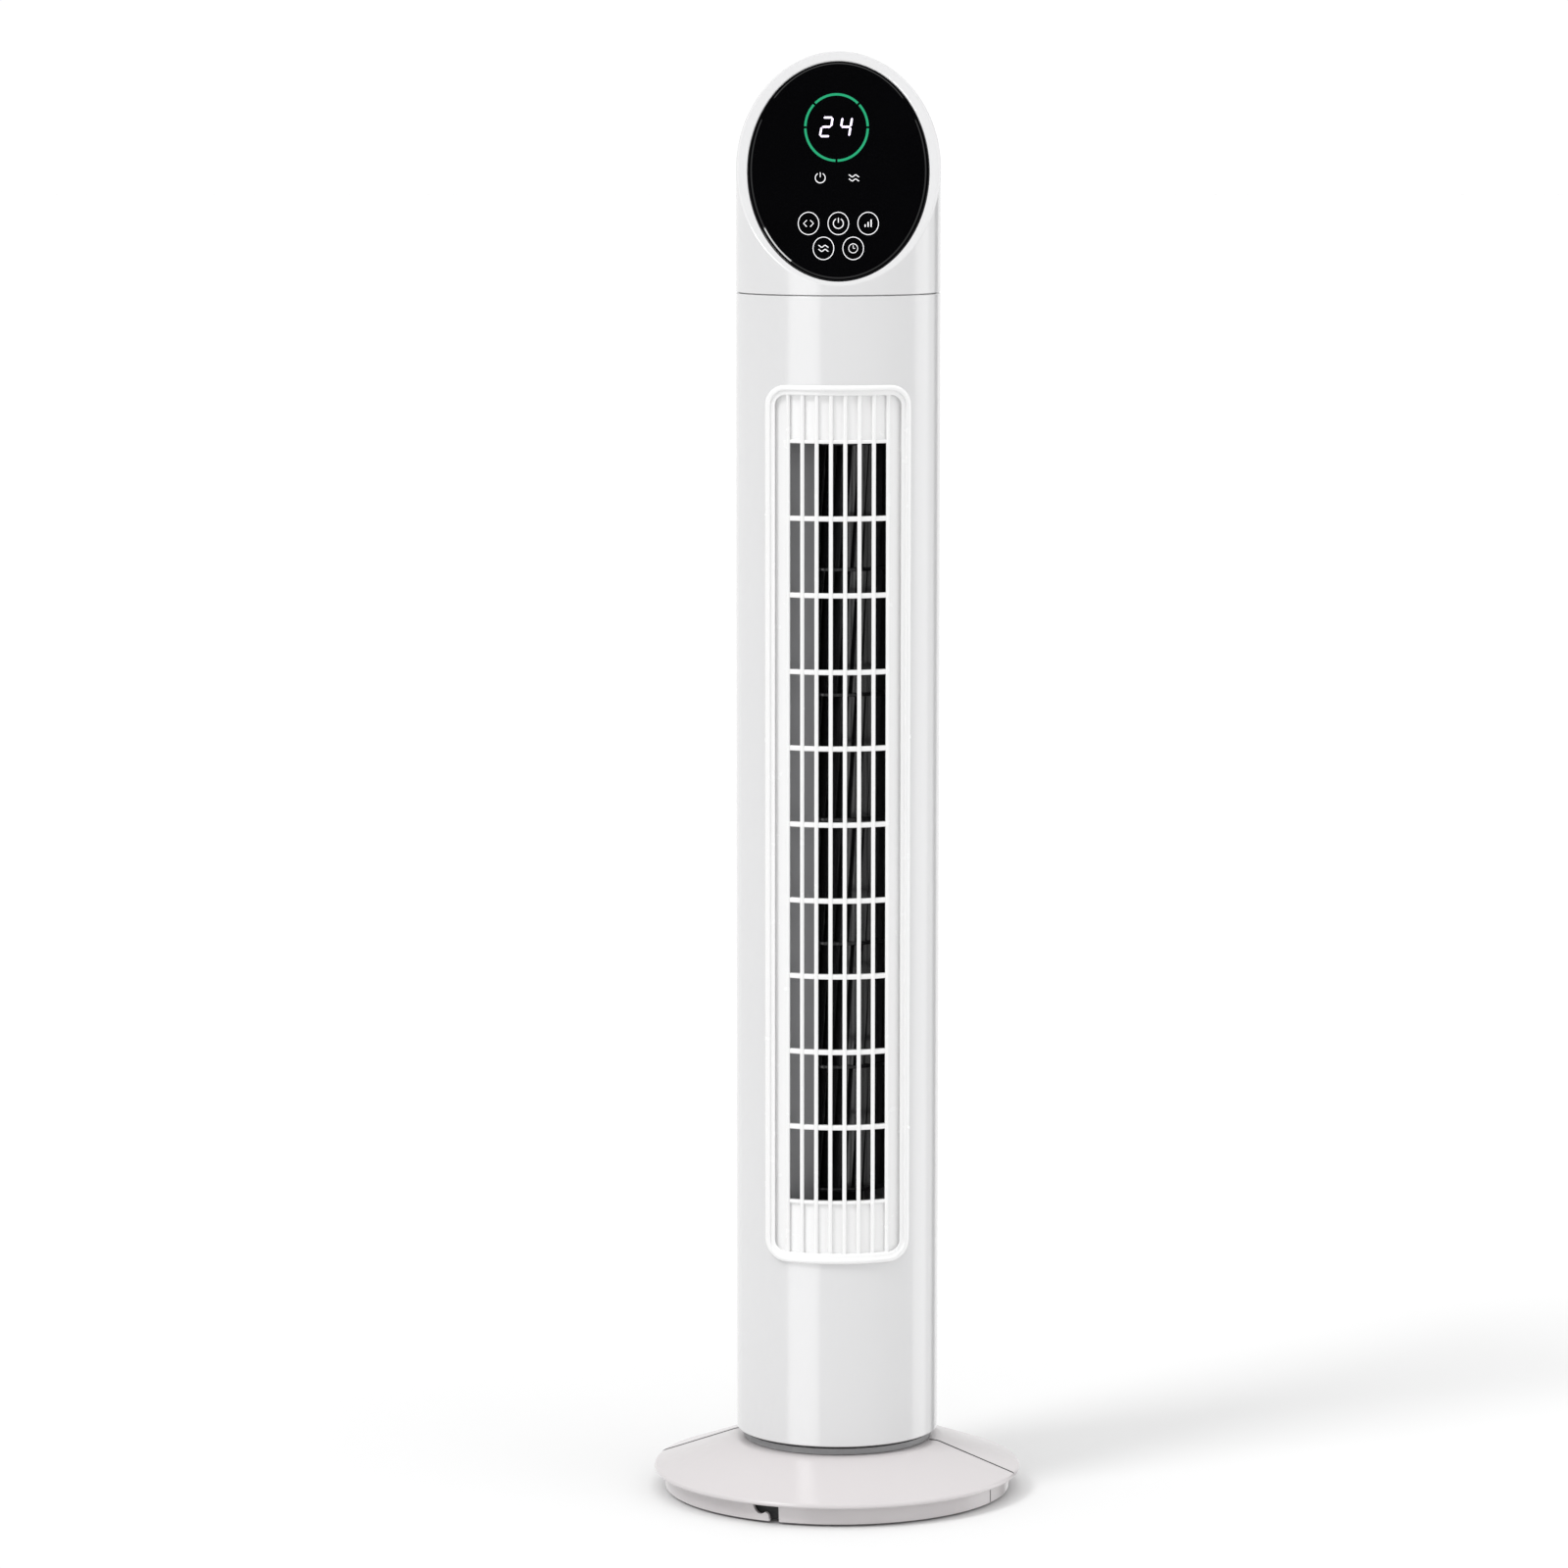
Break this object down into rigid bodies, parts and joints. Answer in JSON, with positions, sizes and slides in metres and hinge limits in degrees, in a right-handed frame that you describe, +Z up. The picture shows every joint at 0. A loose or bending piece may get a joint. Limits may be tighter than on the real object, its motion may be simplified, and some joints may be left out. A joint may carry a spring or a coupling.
{
  "type": "tower fan",
  "caption": "Slim upright tower fan: white round column with a tall front grille, sloping oval glass control panel, swinging on a flat round foot.",
  "frame": {"origin": "on the floor under the column's axis", "axes": "+Z up, front at -Y, right at +X (seen from the front)"},
  "size_m": [0.2346, 0.2346, 0.914],
  "materials": {
    "case_white": "satin white ABS, fine moulded gloss",
    "foot_white": "satin warm white ABS",
    "duct_grey": "moulded dark grey plastic",
    "natural_nylon": "natural nylon",
    "black_plastic": "semi-gloss black plastic",
    "panel_gloss": "polished black acrylic",
    "rubber": "matt black rubber",
    "steel": "zinc-plated steel",
    "copper": "varnished copper winding on laminated steel",
    "bronze": "sintered bronze",
    "circuit_board": "green solder mask on glass laminate",
    "light_guide": "frosted light guide, lit green",
    "digits": "numeric display module"
  },
  "bodies": {
    "base": {"base_front_half": "foot_white", "base_rear_half": "foot_white", "foot_pad_1": "rubber", "foot_pad_2": "rubber", "foot_pad_3": "rubber", "foot_pad_4": "rubber", "foot_pad_5": "rubber", "foot_pad_6": "rubber", "base_screw_1": "steel", "base_screw_2": "steel", "base_screw_3": "steel", "base_screw_4": "steel", "pivot_hub": "duct_grey", "slip_ring": "natural_nylon", "ring_gear": "natural_nylon", "hub_nut": "black_plastic", "cord_gland": "rubber"},
    "column": {"bearing_seat": "rubber", "motor_damper_1": "rubber", "motor_damper_2": "rubber", "motor_damper_3": "rubber", "case_screw_1": "steel", "case_screw_2": "steel", "case_screw_3": "steel", "case_screw_4": "steel", "swing_motor_bracket": "steel", "swing_motor": "steel", "motor_housing": "steel", "touch_spring_1": "steel", "touch_spring_2": "steel", "touch_spring_3": "steel", "touch_spring_4": "steel", "touch_spring_5": "steel", "turntable_plate": "duct_grey", "duct_floor": "duct_grey", "duct_ceiling": "duct_grey", "scroll_wall": "duct_grey", "tongue_wall": "duct_grey", "run_capacitor": "black_plastic", "signal_receiver": "black_plastic", "column_front": "case_white", "column_rear": "case_white", "neck_ring": "case_white", "front_grille": "case_white", "head_front": "case_white", "head_rear": "case_white", "panel_lens": "panel_gloss", "motor_stator": "copper", "transformer": "copper", "bearing_bush": "bronze", "display_board": "circuit_board", "control_board": "circuit_board", "ring_light": "light_guide", "digit_display": "digits"},
    "impeller": {"motor_rotor": "steel", "impeller_hub": "rubber", "impeller": "black_plastic", "impeller_axle": "steel"},
    "swing_pinion": {"swing_pinion": "natural_nylon"}
  },
  "joints": [
    {"name": "swing", "type": "hinge", "parent": "base", "child": "column", "pos_m": [0, 0, 0.04], "axis": [0, 0, 1], "range_deg": [-55, 25]},
    {"name": "impeller_spin", "type": "hinge", "parent": "column", "child": "impeller", "pos_m": [0, 0.006, 0.2], "axis": [0, 0, 1], "continuous": true},
    {"name": "pinion_spin", "type": "hinge", "parent": "column", "child": "swing_pinion", "pos_m": [0.0303, 0, 0.045], "axis": [0, 0, 1], "range_deg": [-225, 105]}
  ],
  "couplings": [
    {"joint": "pinion_spin", "follows": "swing", "ratio": 4}
  ]
}
